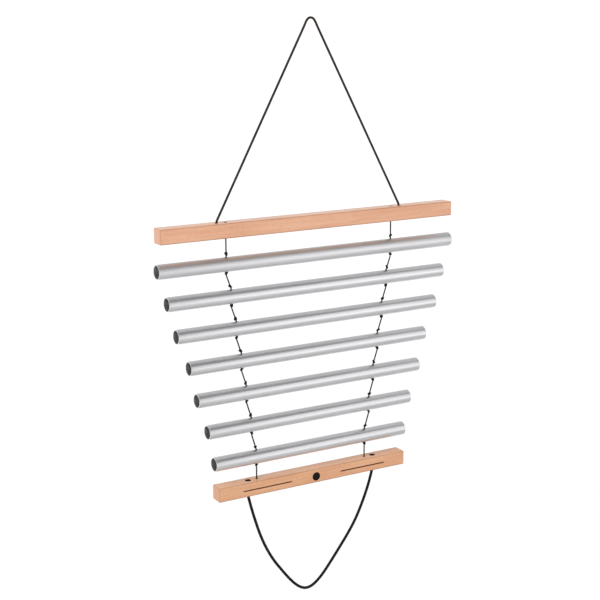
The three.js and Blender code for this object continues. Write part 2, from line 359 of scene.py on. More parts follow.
def thin_cord_line(side):
    knot_radius = size(f"tube_cord_1_{side}").x / 2
    to_knot = THIN_CUT_END + knot_radius
    at = middle(f"cord_head_{side}").x
    tip = Vector((at, 0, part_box(f"cord_head_{side}")[1].z))
    bend = Vector((at, 0, hinge_height["span_1_swing"]))
    line = knotted_stretch(tip, bend, to_knot, THIN_CORD)
    for number, tube in enumerate(TUBE_NAMES, start=1):
        at = middle(f"tube_cord_{number}_{side}").x
        entry = Vector((at, 0, hinge_height[f"{tube}_roll"]))
        leave = Vector((at, 0, hinge_height[f"span_{number + 1}_swing"]))
        span = (entry - bend).length
        line += knotted_stretch(bend, entry, span - KNOT_ABOVE_TUBE, THIN_CORD)
        stopper = (leave - entry).length - NECK - knot_radius
        line += knotted_stretch(entry, leave, stopper, THIN_CORD)
        bend = leave
    foot_bend = Vector((at, 0, hinge_height["bottom_bar_roll"]))
    foot_tip = Vector((at, 0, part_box(f"cord_foot_{side}")[0].z))
    line += knotted_stretch(bend, foot_bend, None, THIN_CORD)
    line += knotted_stretch(foot_bend, foot_tip, (foot_tip - foot_bend).length - to_knot, THIN_CORD)
    return line


thin_lines = {side: even_line(thin_cord_line(side), THIN_STEP) for side in SIDES}
for side, line in thin_lines.items():
    print(side, "thin cord", len(line), "points", round((len(line) - 1) * THIN_STEP, 3), "m with its knots")

# %% [markdown]
# A loop is a knot, a hole, the free cord, a hole and a knot again. Its free part runs through the chosen
# points on a smooth curve, whose slope at each point comes from the points beside it. Where the curve
# meets the straight hole, a moving average rounds the corner.

# %% Lay out the two loops
LOOP_STEP = 0.0003


def smooth_line(points, steps=12):
    points = np.asarray(points, float)
    along = np.concatenate([[0.0], np.cumsum(np.linalg.norm(np.diff(points, axis=0), axis=1))])
    slope = np.gradient(points, along, axis=0)
    share = np.linspace(0.0, 1.0, steps, endpoint=False)[:, None]
    back = 1 - share
    curve = []
    for i, reach in enumerate(np.diff(along)):
        leaving = (1 + 2 * share) * points[i] + share * reach * slope[i]
        arriving = (1 + 2 * back) * points[i + 1] - back * reach * slope[i + 1]
        curve.extend(back ** 2 * leaving + share ** 2 * arriving)
    return [*curve, points[-1]]


def rounded(points, half_width):
    """Rounds the corners of an evenly stepped line and keeps its ends."""
    kernel = np.hanning(2 * half_width + 3)[1:-1]
    kernel /= kernel.sum()
    before = 2 * points[0] - points[half_width:0:-1]
    after = 2 * points[-1] - points[-2:-half_width - 2:-1]
    longer = np.concatenate([before, points, after])
    return np.stack([np.convolve(longer[:, axis], kernel, "valid") for axis in range(3)], axis=1)


def loop_line(route, diameter, end_name, tip_side, hole_mouth):
    """The whole cord from tip to tip. tip_side is 0 where the tips are low and 1 where they are high."""
    ends = []
    for side in SIDES:
        at = middle(f"{end_name}_{side}").x
        tip = Vector((at, 0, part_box(f"{end_name}_{side}")[tip_side].z))
        to_knot = LOOP_CUT_END + size(f"{end_name}_{side}").x / 2
        ends.append(knotted_stretch(tip, Vector((at, 0, hole_mouth)), to_knot, diameter))
    free = smooth_line([(x, 0.0, z) for x, z in route])
    free = rounded(even_line([ends[0][-1], *free, ends[1][-1]], LOOP_STEP), half_width=5)
    return even_line([*ends[0][:-1], *free, *ends[1][-2::-1]], LOOP_STEP)


IN_THE_HOLE = 0.003
hand_loop_route = [(x, hand_loop_top + z) for x, z in HAND_LOOP]
top_bar_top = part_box("top_bar")[1].z
loop_lines = {
    "hanging_loop": loop_line(hanging_loop_route, HANGING_CORD, "loop_end", 0, top_bar_top - IN_THE_HOLE),
    "hand_loop": loop_line(hand_loop_route, HAND_CORD, "hand_loop_end", 1, hand_loop_top + IN_THE_HOLE),
}
for name, line in loop_lines.items():
    print(name, len(line), "points", round((len(line) - 1) * LOOP_STEP, 3), "m with its knots")

# %% [markdown]
# The cords are dark, but not flat black. The thin one is waxed thread: a brown black with a dull shine
# on its crowns. The loops are soft braided cord with a faint bloom of fibres that catch the light, and
# the hanging loop is a lighter brown black than the hand loop. The shape of each cord carries a number
# for how high a point lies on its strand. The finish uses it to paint shade into the grooves with a
# darker colour, and a fine noise breaks up the yarn.

# %% Cord finishes
GROOVE_TO_CROWN = (0.2, 0.95)


def cord_finish(name, crown, groove_shade, yarn_per_metre, **values):
    finish, tree, shader = new_finish(name, **values)
    height = add_node(tree, "ShaderNodeAttribute", attribute_name="relief").outputs["Fac"]
    yarn = stretched_noise(tree, (yarn_per_metre,) * 3, detail=2.0)
    clean = ramp(tree, yarn, *NOISE_RANGE, 0.55, 1.0)
    # Painted shade: where a strand dips, the darker groove colour stands in for the shade between strands.
    crown_share = calc(tree, "MULTIPLY", ramp(tree, height, *GROOVE_TO_CROWN), clean)
    paint(tree, shader, mix_colours(tree, crown_share, groove_shade, crown), ramp(tree, yarn, *NOISE_RANGE, 0.5, 0.8))
    bump(tree, shader, yarn, strength=0.35, distance=0.0001)
    return finish


waxed_thread = cord_finish(
    "waxed thread", screen_colour(40, 28, 23), screen_colour(14, 10, 8), 4000.0, Specular_IOR_Level=0.2,
)
braids = {}
for name, crown, groove_shade in (
    ("hanging_loop", screen_colour(72, 60, 56), screen_colour(28, 22, 21)),
    ("hand_loop", screen_colour(43, 34, 31), screen_colour(13, 10, 9)),
):
    braids[name] = cord_finish(
        f"braid of the {name}", crown, groove_shade, 3000.0,
        Specular_IOR_Level=0.15, Sheen_Weight=0.05, Sheen_Roughness=0.4,
    )
print("cord finishes", waxed_thread.name, *[finish.name for finish in braids.values()])

# %% [markdown]
# Geometry Nodes make the shapes that follow a path or a rule. These helpers open a tree with named
# inputs for its sizes, keep a number on the shape for later nodes and for the finish, sweep a section
# along a line, and end the tree in Realize Instances and Set Material.

# %% Helpers for shape trees


def new_shape_tree(name, sizes, takes_geometry):
    tree = bpy.data.node_groups.new(name, "GeometryNodeTree")
    tree.is_modifier = True
    if takes_geometry:
        tree.interface.new_socket("Line", in_out="INPUT", socket_type="NodeSocketGeometry")
    for size_name, kind in sizes.items():
        tree.interface.new_socket(size_name, in_out="INPUT", socket_type=kind)
    tree.interface.new_socket("Geometry", in_out="OUTPUT", socket_type="NodeSocketGeometry")
    return tree, add_node(tree, "NodeGroupInput").outputs


def end_shape_tree(tree, geometry, finishes):
    """Ends a tree in Realize Instances and Set Material; finishes are (material, selection) pairs."""
    shape = add_node(tree, "GeometryNodeRealizeInstances", {0: geometry}).outputs[0]
    for finish, selection in finishes:
        inputs = {"Geometry": shape, "Material": finish}
        if selection is not None:
            inputs["Selection"] = selection
        shape = add_node(tree, "GeometryNodeSetMaterial", inputs).outputs[0]
    add_node(tree, "NodeGroupOutput", {0: shape})
    return tree


def store(tree, geometry, name, value, domain="POINT"):
    inputs = {"Geometry": geometry, "Name": name, "Value": value}
    settings = {"data_type": "FLOAT", "domain": domain}
    return add_node(tree, "GeometryNodeStoreNamedAttribute", inputs, **settings).outputs[0]


def recall(tree, name):
    return add_node(tree, "GeometryNodeInputNamedAttribute", {"Name": name}, data_type="FLOAT").outputs[0]


def scaled(tree, place, factor):
    inputs = {0: place, "Scale": factor}
    return add_node(tree, "ShaderNodeVectorMath", inputs, operation="SCALE").outputs[0]


def position(tree):
    return add_node(tree, "GeometryNodeInputPosition").outputs[0]


def half(tree, value):
    return calc(tree, "DIVIDE", value, 2.0)


def circle(tree, sides, radius):
    inputs = {"Resolution": sides, "Radius": radius}
    return add_node(tree, "GeometryNodeCurvePrimitiveCircle", inputs).outputs[0]


def swept(tree, line, section):
    inputs = {"Curve": line, "Profile Curve": section}
    return add_node(tree, "GeometryNodeCurveToMesh", inputs).outputs[0]


print("node trees so far", len(bpy.data.node_groups))

# %% [markdown]
# The thin cord is three dark strands twisted together. Its section is a circle with three soft lobes,
# and the section turns steadily along the cord. A node tree does this well: the line becomes a curve,
# the curve's tilt grows with its length, and the section is swept along it. The tree also writes how
# high each point lies on its strand, so that the finish can paint shade into the grooves.

# %% Tree for twisted cord
CORD_SIZES = {
    "Diameter": "NodeSocketFloat", "Sides": "NodeSocketInt", "Strands": "NodeSocketInt",
    "Lay length": "NodeSocketFloat", "Relief": "NodeSocketFloat",
}


def twisted_cord_tree(finish):
    tree, given = new_shape_tree("twisted cord", CORD_SIZES, takes_geometry=True)
    along = add_node(tree, "GeometryNodeSplineParameter").outputs
    line = add_node(tree, "GeometryNodeMeshToCurve", {"Mesh": given["Line"]}).outputs[0]
    turn = calc(tree, "MULTIPLY", calc(tree, "DIVIDE", along["Length"], given["Lay length"]), math.tau)
    line = add_node(tree, "GeometryNodeSetCurveTilt", {"Curve": line, "Tilt": turn}).outputs[0]
    section = circle(tree, given["Sides"], half(tree, given["Diameter"]))
    angle = calc(tree, "MULTIPLY", calc(tree, "MULTIPLY", along["Factor"], given["Strands"]), math.tau)
    lobe = calc(tree, "ABSOLUTE", calc(tree, "COSINE", half(tree, angle)))
    section = store(tree, section, "relief", lobe)
    depth = calc(tree, "MULTIPLY", calc(tree, "SUBTRACT", 1.0, recall(tree, "relief")), given["Relief"])
    place = scaled(tree, position(tree), calc(tree, "SUBTRACT", 1.0, depth))
    section = add_node(tree, "GeometryNodeSetPosition", {"Geometry": section, "Position": place}).outputs[0]
    return end_shape_tree(tree, swept(tree, line, section), [(finish, None)])


twisted = twisted_cord_tree(waxed_thread)
print("a cord tree takes", ", ".join(CORD_SIZES))

# %% [markdown]
# The loops are braided, so their strands cross. Here the swept tube is raised in rows of small
# lozenges, where one strand passes over another, and the same height goes to the finish, which paints
# shade where it is low.

# %% Tree for braided cord


def braided_cord_tree(finish):
    tree, given = new_shape_tree("braided cord", CORD_SIZES, takes_geometry=True)
    along = add_node(tree, "GeometryNodeSplineParameter").outputs
    line = add_node(tree, "GeometryNodeMeshToCurve", {"Mesh": given["Line"]}).outputs[0]
    line = store(tree, line, "along", calc(tree, "DIVIDE", along["Length"], given["Lay length"]))
    radius = half(tree, given["Diameter"])
    strand = calc(tree, "MULTIPLY", along["Factor"], given["Strands"])
    section = store(tree, circle(tree, given["Sides"], radius), "around", strand)
    tube = swept(tree, line, section)
    one_way = calc(tree, "ADD", recall(tree, "around"), recall(tree, "along"))
    other_way = calc(tree, "SUBTRACT", recall(tree, "around"), recall(tree, "along"))
    crowns = [
        calc(tree, "ABSOLUTE", calc(tree, "SINE", calc(tree, "MULTIPLY", way, math.pi)))
        for way in (one_way, other_way)
    ]
    lozenge = calc(tree, "SQRT", calc(tree, "MULTIPLY", *crowns))
    tube = store(tree, tube, "relief", lozenge)
    sunk = calc(tree, "SUBTRACT", recall(tree, "relief"), 1.0)
    height = calc(tree, "MULTIPLY", sunk, calc(tree, "MULTIPLY", radius, given["Relief"]))
    offset = scaled(tree, add_node(tree, "GeometryNodeInputNormal").outputs[0], height)
    tube = add_node(tree, "GeometryNodeSetPosition", {"Geometry": tube, "Offset": offset}).outputs[0]
    return end_shape_tree(tree, tube, [(finish, None)])


braided = {name: braided_cord_tree(finish) for name, finish in braids.items()}
print("nodes for each braid", [len(tree.nodes) for tree in braided.values()])

# %% [markdown]
# A node tree's result is turned into a plain mesh as soon as it is made. The helper gives a tree its
# sizes by their sockets, evaluates it once, and keeps only the mesh. A closed mesh whose volume comes
# out negative has its faces turned round, so that they all look outwards.

# %% From a tree to a mesh


def shown_mesh(thing):
    """A plain mesh of what an object's modifiers show."""
    shown = thing.evaluated_get(bpy.context.evaluated_depsgraph_get())
    return bpy.data.meshes.new_from_object(shown)


def shape_from_tree(name, tree, sizes, line=None):
    source = bpy.data.meshes.new(name)
    if line is not None:
        steps = [(i, i + 1) for i in range(len(line) - 1)]
        source.from_pydata([tuple(point) for point in line], steps, [])
    holder = in_scene(name, source)
    modifier = holder.modifiers.new("shape", "NODES")
    modifier.node_group = tree
    for item in tree.interface.items_tree:
        if item.in_out == "INPUT" and item.name in sizes:
            modifier[item.identifier] = sizes[item.name]
    bpy.context.view_layer.update()
    mesh = shown_mesh(holder)
    bpy.data.objects.remove(holder)
    return mesh


def outward(mesh):
    """Turns a closed mesh's faces outwards."""
    shell = bmesh.new()
    shell.from_mesh(mesh)
    if shell.calc_volume(signed=True) < 0:
        bmesh.ops.reverse_faces(shell, faces=shell.faces)
        shell.to_mesh(mesh)
    shell.free()
    return mesh


print("meshes so far", len(bpy.data.meshes))

# %% [markdown]
# A cord's mesh is rows of rings, one for each point of its line, so a length of it can be taken out by
# counting rings. The crowns of a soft cord's strands stand out beyond its nominal width, so each cord
# is swept a little thicker than it is named.

# %% Sweep the cords
THIN_SIDES, LOOP_SIDES = 18, 36
CROWNS_STAND_OUT = {THIN_CORD: 1.18, HANGING_CORD: 1.14, HAND_CORD: 1.11}


def cord_sizes(diameter, sides, strands, lay_length, relief):
    values = (diameter * CROWNS_STAND_OUT[diameter], sides, strands, lay_length, relief)
    return dict(zip(CORD_SIZES, values))


def rings(mesh, sides, line):
    """The places and heights of a swept mesh, ring by ring from the start of its line."""
    flat = np.empty(len(mesh.vertices) * 3)
    mesh.vertices.foreach_get("co", flat)
    places = flat.reshape(-1, sides, 3)
    height = np.empty(len(mesh.vertices))
    mesh.attributes["relief"].data.foreach_get("value", height)
    height = height.reshape(-1, sides)
    if np.linalg.norm(places[0].mean(0) - line[0]) > np.linalg.norm(places[0].mean(0) - line[-1]):
        places, height = places[::-1, ::-1], height[::-1, ::-1]
    return places, height


thin_sizes = cord_sizes(THIN_CORD, THIN_SIDES, strands=3, lay_length=0.0045, relief=0.2)
loop_sizes = {
    "hanging_loop": cord_sizes(HANGING_CORD, LOOP_SIDES, strands=6, lay_length=0.0016, relief=0.11),
    "hand_loop": cord_sizes(HAND_CORD, LOOP_SIDES, strands=6, lay_length=0.0021, relief=0.11),
}
thin_rings, loop_rings = {}, {}
for side, line in thin_lines.items():
    thin_rings[side] = rings(shape_from_tree(f"thin_{side}", twisted, thin_sizes, line), THIN_SIDES, line)
for name, line in loop_lines.items():
    loop_rings[name] = rings(shape_from_tree(name, braided[name], loop_sizes[name], line), LOOP_SIDES, line)
print("rings", {name: len(found[0]) for name, found in {**thin_rings, **loop_rings}.items()})

# %% [markdown]
# A piece of cord is built from its rings: each ring is joined to the next, and both ends are closed. One
# piece can hold several lengths that move together, such as a left and a right one.

# %% A piece from lengths of cord


def cord_piece(name, lengths, finish):
    """One mesh from lengths of cord, each given as rings of places and heights, with closed ends."""
    points, faces, heights = [], [], []
    for places, height in lengths:
        first, (count, sides) = len(points), height.shape
        ring = np.arange(sides)
        for row in range(count - 1):
            here = first + row * sides
            after = here + sides
            quads = zip(here + ring, here + np.roll(ring, -1), after + np.roll(ring, -1), after + ring)
            faces.extend([tuple(int(i) for i in quad) for quad in quads])
        faces.append(tuple(first + sides - 1 - i for i in range(sides)))
        faces.append(tuple(first + (count - 1) * sides + i for i in range(sides)))
        points.extend(map(tuple, places.reshape(-1, 3)))
        heights.extend(height.reshape(-1))
    mesh = bpy.data.meshes.new(name)
    mesh.from_pydata(points, [], faces)
    mesh.attributes.new("relief", "FLOAT", "POINT").data.foreach_set("value", heights)
    mesh.materials.append(finish)
    mesh.shade_smooth()
    mesh.update()
    return in_scene(name, outward(mesh))


print("rings per millimetre", round(0.001 / THIN_STEP, 1), "thin", round(0.001 / LOOP_STEP, 1), "loops")

# %% [markdown]
# A thin cord is one length from the top bar to the bottom bar, but it bends at each tube. So it is cut
# where nothing bends, inside the tubes and half way between them, and every length belongs to one
# bend, between one body and the next.

# %% Thin cords, one length for each bend
TUBE_BEND_REACH, STOPPER_BEND_REACH = 0.0012, 0.00075


def thin_cord_bends():
    """From top to bottom: the body above, the body below, the hinge, and half the height that turns."""
    bends = [("top_bar", "span_1", "span_1_swing", NECK)]
    for number, tube in enumerate(TUBE_NAMES, start=1):
        bends.append((f"span_{number}", tube, f"{tube}_roll", TUBE_BEND_REACH))
        bends.append((tube, f"span_{number + 1}", f"span_{number + 1}_swing", STOPPER_BEND_REACH))
    return [*bends, ("span_8", "bottom_bar", "bottom_bar_roll", NECK)]


def thin_cord_cuts():
    """The heights of the cuts, from top to bottom: half way down each span, and in each tube's middle."""
    cuts = []
    for number, tube in enumerate(TUBE_NAMES, start=1):
        mouth, above = hinge_height[f"{tube}_roll"], hinge_height[f"span_{number}_swing"]
        cuts += [(mouth + KNOT_ABOVE_TUBE + above) / 2, middle(tube).z]
    cuts.append((hinge_height["span_8_swing"] + hinge_height["bottom_bar_roll"]) / 2)
    return cuts


def thin_cord_lengths(side):
    (places, height), heights = thin_rings[side], thin_lines[side][:, 2]
    marks = [0, *[int(np.argmax(heights < cut)) for cut in thin_cord_cuts()], len(heights) - 1]
    return [(places[start:end + 1], height[start:end + 1]) for start, end in zip(marks, marks[1:])]


def hang_thin_cords(upper, lower, hinge, reach, lengths):
    piece = cord_piece(f"thin_cords_{upper}_to_{lower}", lengths, waxed_thread)
    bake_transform(piece)
    stands_for = lower.replace("tube_", "tube_cord_").replace("bottom_bar", "cord_foot")
    nodes = [f"{stands_for}_{side}" for side in SIDES]
    if upper == "top_bar":
        nodes += [f"cord_head_{side}" for side in SIDES]
    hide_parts(*nodes)


pairs = list(zip(*[thin_cord_lengths(side) for side in SIDES]))
for bend, lengths in zip(thin_cord_bends(), pairs):
    hang_thin_cords(*bend, lengths)
print("thin cord pieces", len(pairs))

# %% [markdown]
# The loops are free cords. Each is one length with a knot sunk in the bar at both ends, and it bends
# where it comes out of the wood. The knots stay with the bar, so the cord is cut inside its two holes,
# where nobody sees it.

# %% The hanging loop and the hand loop


def hang_loop(name, bodies, exit_z, end_name):
    line, (places, height) = loop_lines[name], loop_rings[name]
    in_bar = np.flatnonzero(np.abs(line[:, 2] - exit_z) < IN_THE_HOLE)
    first, last = int(in_bar[0]), int(in_bar[-1]) + 1
    bar = next(body for body in bodies if body != name)
    ends = [(places[part], height[part]) for part in (slice(first + 1), slice(last - 1, None))]
    knots = cord_piece(f"{name}_knots", ends, braids[name])
    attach(knots, bar)
    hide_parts(*[f"{end_name}_{side}" for side in SIDES])
    cord = cord_piece(f"{name}_cord", [(places[first:last], height[first:last])], braids[name])
    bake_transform(cord)
    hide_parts(name)


hang_loop(
    "hanging_loop", ("hanging_loop", "top_bar"),
    exit_z=top_bar_top, end_name="loop_end",
)
hang_loop(
    "hand_loop", ("bottom_bar", "hand_loop"),
    exit_z=hand_loop_top, end_name="hand_loop_end",
)

# %% [markdown]
# The tubes are cut from drawn aluminium tube and drilled across in two places, where a struck tube
# hardly moves, so that the cords don't damp its note. Their satin skin is fine streaks along the tube.
# The saw leaves the ends brighter, and the bore keeps the duller skin of the raw tube. The top tube is a
# little hazier than the others: each tube carries a number that is added to its roughness.

# %% Aluminium finishes
DRAWN_STREAKS, SAW_MARKS, CLOUDS = (25.0, 2600.0, 2600.0), (900.0, 900.0, 900.0), (18.0, 60.0, 60.0)
DARKER_STREAK, STREAK_DEPTH = 0.93, 0.00005


def aluminium_finish(name, colour, streaks_per_metre, rough, strength):
    finish, tree, shader = new_finish(name, Metallic=1.0)
    streaks = stretched_noise(tree, streaks_per_metre, detail=4.0)
    clouds = stretched_noise(tree, CLOUDS, detail=2.0)
    light, dark = (*colour, 1.0), (*[DARKER_STREAK * part for part in colour], 1.0)
    tone = mix_values(tree, 0.5, streaks, clouds)
    haze = add_node(tree, "ShaderNodeAttribute", attribute_name="haze").outputs["Fac"]
    hazy = calc(tree, "ADD", ramp(tree, tone, *NOISE_RANGE, *rough), haze)
    paint(tree, shader, mix_colours(tree, ramp(tree, tone, *NOISE_CORE), dark, light), hazy)
    bump(tree, shader, streaks, strength=strength, distance=STREAK_DEPTH)
    return finish


satin_skin = aluminium_finish("satin aluminium", (0.81, 0.805, 0.82), DRAWN_STREAKS, (0.30, 0.38), 0.15)
sawn_rim = aluminium_finish("sawn aluminium rim", (0.93, 0.93, 0.93), SAW_MARKS, (0.30, 0.42), 0.3)
dull_bore = aluminium_finish("dull aluminium bore", (0.52, 0.52, 0.53), DRAWN_STREAKS, (0.40, 0.50), 0.2)
print("aluminium finishes", satin_skin.name, sawn_rim.name, dull_bore.name)

# %% [markdown]
# All seven tubes follow one rule and differ only in length and in the place of their holes. So one node
# tree makes them. It needs two shapes: the tube, which is the wall's section, a long thin rectangle with
# broken corners, swept round a circle, and a pair of cylinders for the holes.

# %% Tube and drills
TUBE_SIZES = {
    "Length": "NodeSocketFloat", "Diameter": "NodeSocketFloat", "Wall": "NodeSocketFloat",
    "Broken edge": "NodeSocketFloat", "Hole": "NodeSocketFloat", "Hole spacing": "NodeSocketFloat",
    "Sides": "NodeSocketInt", "Height": "NodeSocketFloat", "Haze": "NodeSocketFloat",
}
DRILL_SIDES, DRILL_LENGTH = 40, 1.5


def vector(tree, x=0.0, y=0.0, z=0.0):
    return add_node(tree, "ShaderNodeCombineXYZ", {0: x, 1: y, 2: z}).outputs[0]


def from_x_axis(tree, place):
    """How far a point lies from the X axis, from the three parts of its place."""
    squares = [calc(tree, "POWER", place[axis], 2.0) for axis in (1, 2)]
    return calc(tree, "SQRT", calc(tree, "ADD", *squares))


def plain_tube(tree, given, mid_wall):
    section_sizes = {"Width": given["Wall"], "Height": given["Length"]}
    section = add_node(tree, "GeometryNodeCurvePrimitiveQuadrilateral", section_sizes).outputs[0]
    corners = {"Curve": section, "Count": 3, "Radius": given["Broken edge"], "Limit Radius": True}
    section = add_node(tree, "GeometryNodeFilletCurve", corners, mode="POLY").outputs[0]
    tube = swept(tree, circle(tree, given["Sides"], mid_wall), section)
    lying = {"Geometry": tube, "Rotation": (0.0, math.pi / 2, 0.0)}
    return add_node(tree, "GeometryNodeTransform", lying).outputs[0]


def two_drills(tree, given):
    drill_sizes = {"Vertices": DRILL_SIDES, "Radius": half(tree, given["Hole"])}
    drill_sizes["Depth"] = calc(tree, "MULTIPLY", given["Diameter"], DRILL_LENGTH)
    drill = add_node(tree, "GeometryNodeMeshCylinder", drill_sizes).outputs["Mesh"]
    first = vector(tree, x=calc(tree, "DIVIDE", given["Hole spacing"], -2.0))
    spots = {"Count": 2, "Start Location": first, "Offset": vector(tree, x=given["Hole spacing"])}
    spots = add_node(tree, "GeometryNodeMeshLine", spots).outputs[0]
    drills = add_node(tree, "GeometryNodeInstanceOnPoints", {"Points": spots, "Instance": drill}).outputs[0]
    return add_node(tree, "GeometryNodeRealizeInstances", {0: drills}).outputs[0]


print("a tube tree takes", ", ".join(TUBE_SIZES))

# %% [markdown]
# The cylinders are taken out of the tube, and points that fall together there are joined. Then each face
# gets three numbers: whether it lies in the bore, whether it lies at a rim, and the haze of its tube. The
# first two choose its finish, and the third goes to the shader.

# %% Tree for a drilled tube
SAME_SPOT, SOFT_BEND = 1e-6, math.radians(35)


def softened(tree, shape):
    """Smooth faces, with a hard edge wherever the surface turns sharply."""
    bend = add_node(tree, "GeometryNodeInputMeshEdgeAngle").outputs["Unsigned Angle"]
    soft = calc(tree, "LESS_THAN", bend, SOFT_BEND)
    for domain, smooth in (("FACE", True), ("EDGE", soft)):
        inputs = {0: shape, "Shade Smooth": smooth}
        shape = add_node(tree, "GeometryNodeSetShadeSmooth", inputs, domain=domain).outputs[0]
    return shape


def drilled_tube_tree():
    tree, given = new_shape_tree("drilled tube", TUBE_SIZES, takes_geometry=False)
    mid_wall = calc(tree, "SUBTRACT", half(tree, given["Diameter"]), half(tree, given["Wall"]))
    drilled = add_node(tree, "GeometryNodeMeshBoolean", operation="DIFFERENCE", solver="EXACT")
    tree.links.new(plain_tube(tree, given, mid_wall), drilled.inputs[0])
    tree.links.new(two_drills(tree, given), drilled.inputs[1])
    joined = {"Geometry": drilled.outputs[0], "Distance": SAME_SPOT}
    shape = add_node(tree, "GeometryNodeMergeByDistance", joined).outputs[0]
    place = add_node(tree, "ShaderNodeSeparateXYZ", {0: position(tree)}).outputs
    near_end = calc(tree, "SUBTRACT", half(tree, given["Length"]), given["Broken edge"])
    marks = {
        "in_bore": calc(tree, "LESS_THAN", from_x_axis(tree, place), mid_wall),
        "at_rim": calc(tree, "GREATER_THAN", calc(tree, "ABSOLUTE", place[0]), near_end),
        "haze": given["Haze"],
    }
    for name, value in marks.items():
        shape = store(tree, shape, name, value, domain="FACE")
    hung = {"Geometry": softened(tree, shape), "Translation": vector(tree, z=given["Height"])}
    shape = add_node(tree, "GeometryNodeTransform", hung).outputs[0]
    by_place = [(dull_bore, recall(tree, "in_bore")), (sawn_rim, recall(tree, "at_rim"))]
    return end_shape_tree(tree, shape, [(satin_skin, None), *by_place])


tube_tree = drilled_tube_tree()
print("nodes for a tube", len(tube_tree.nodes))

# %% [markdown]
# Now the tree is used seven times. The fixed model gives each tube's length, diameter and height, and
# the places of its two cords give the spacing of the holes. Wall, holes and broken edges are the same
# on all seven. Each tube stays a piece of its own, because each one turns by itself.

# %% The seven tubes
TUBE_WALL, BROKEN_EDGE, TUBE_HOLE, TUBE_SIDES = 0.001, 0.00025, 0.003, 96
HAZE_OF_FIRST_TUBE = 0.13

for number, tube in enumerate(TUBE_NAMES, start=1):
    cords_apart = middle(f"tube_cord_{number}_right").x - middle(f"tube_cord_{number}_left").x
    tube_sizes = {
        "Length": size(tube).x, "Diameter": size(tube).z, "Wall": TUBE_WALL, "Broken edge": BROKEN_EDGE,
        "Hole": TUBE_HOLE, "Hole spacing": cords_apart, "Sides": TUBE_SIDES, "Height": middle(tube).z,
        "Haze": HAZE_OF_FIRST_TUBE if number == 1 else 0.0,
    }
    piece = in_scene(f"aluminium_{tube}", outward(shape_from_tree(tube, tube_tree, tube_sizes)))
    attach(piece, tube)
    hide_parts(tube)
    print(piece.name, "length", round(size(tube).x, 4), "holes apart", round(cords_apart, 4))

# %% [markdown]
# Both bars are planed strips of beech. Beech is an even, pinkish wood: faint growth rings run along the
# strip, and thousands of short, darker flecks lie between them. The finish is a solid texture, so the
# rings turn the corner and show as arcs on the sawn ends, as they would in one piece of wood. The rings
# are distances from a heart line outside the strip, and a slow noise keeps them from running straight.
# All these lengths are in millimetres.

# %% Growth rings and edges
MM = 1000.0
RING_WIDTH, RING_WANDER = 2.6, 5.0


def place_from(tree, millimetres, origin):
    """The three parts of the way from an origin to a point."""
    inputs = {0: millimetres, 1: origin}
    way = add_node(tree, "ShaderNodeVectorMath", inputs, operation="SUBTRACT").outputs[0]
    return add_node(tree, "ShaderNodeSeparateXYZ", {0: way}).outputs


def depth_below_faces(tree, millimetres, bar):
    """How far a point lies below the ends, the front or back, and the top or underside of a bar."""
    place = place_from(tree, millimetres, middle(bar) * MM)
    halves = size(bar) * MM / 2
    return [calc(tree, "SUBTRACT", most, calc(tree, "ABSOLUTE", part)) for most, part in zip(halves, place)]


def from_arris(tree, depths):
    """On a face one depth is nothing, and on an arris two, so all three less the deepest."""
    deepest = calc(tree, "MAXIMUM", calc(tree, "MAXIMUM", depths[0], depths[1]), depths[2])
    total = calc(tree, "ADD", calc(tree, "ADD", depths[0], depths[1]), depths[2])
    return calc(tree, "SUBTRACT", total, deepest)


def late_wood(tree, millimetres, heart):
    """Rises across each growth ring, from the pale early wood to the darker late wood."""
    distance = from_x_axis(tree, place_from(tree, millimetres, heart))
    wander = calc(tree, "MULTIPLY", stretched_noise(tree, (9.0, 60.0, 60.0), detail=2.0), RING_WANDER)
    ring = calc(tree, "FRACT", calc(tree, "DIVIDE", calc(tree, "ADD", distance, wander), RING_WIDTH))
    return calc(tree, "MULTIPLY", ramp(tree, ring, 0.15, 0.9), ramp(tree, ring, 1.0, 0.9))


print("a growth ring is", RING_WIDTH, "mm wide")

# %% [markdown]
# The colour goes from a light to a darker beech with the rings and with slow clouds, and the flecks lie
# over it. The sawn ends are darker and show their rings more, and the eased edges are a little darker,
# in patches that follow the clouds. Each bar has colours of its own, because no two strips are quite alike.

# %% Beech finish
CLOUD_SHARE, FLECK_SHARE = 0.65, 0.45
END_GRAIN_DEEP, END_GRAIN_SHARE, END_RINGS = 0.5, 0.75, 0.7
ARRIS_NARROW, ARRIS_WIDE, ARRIS_DARK = 0.3, 1.0, 0.6


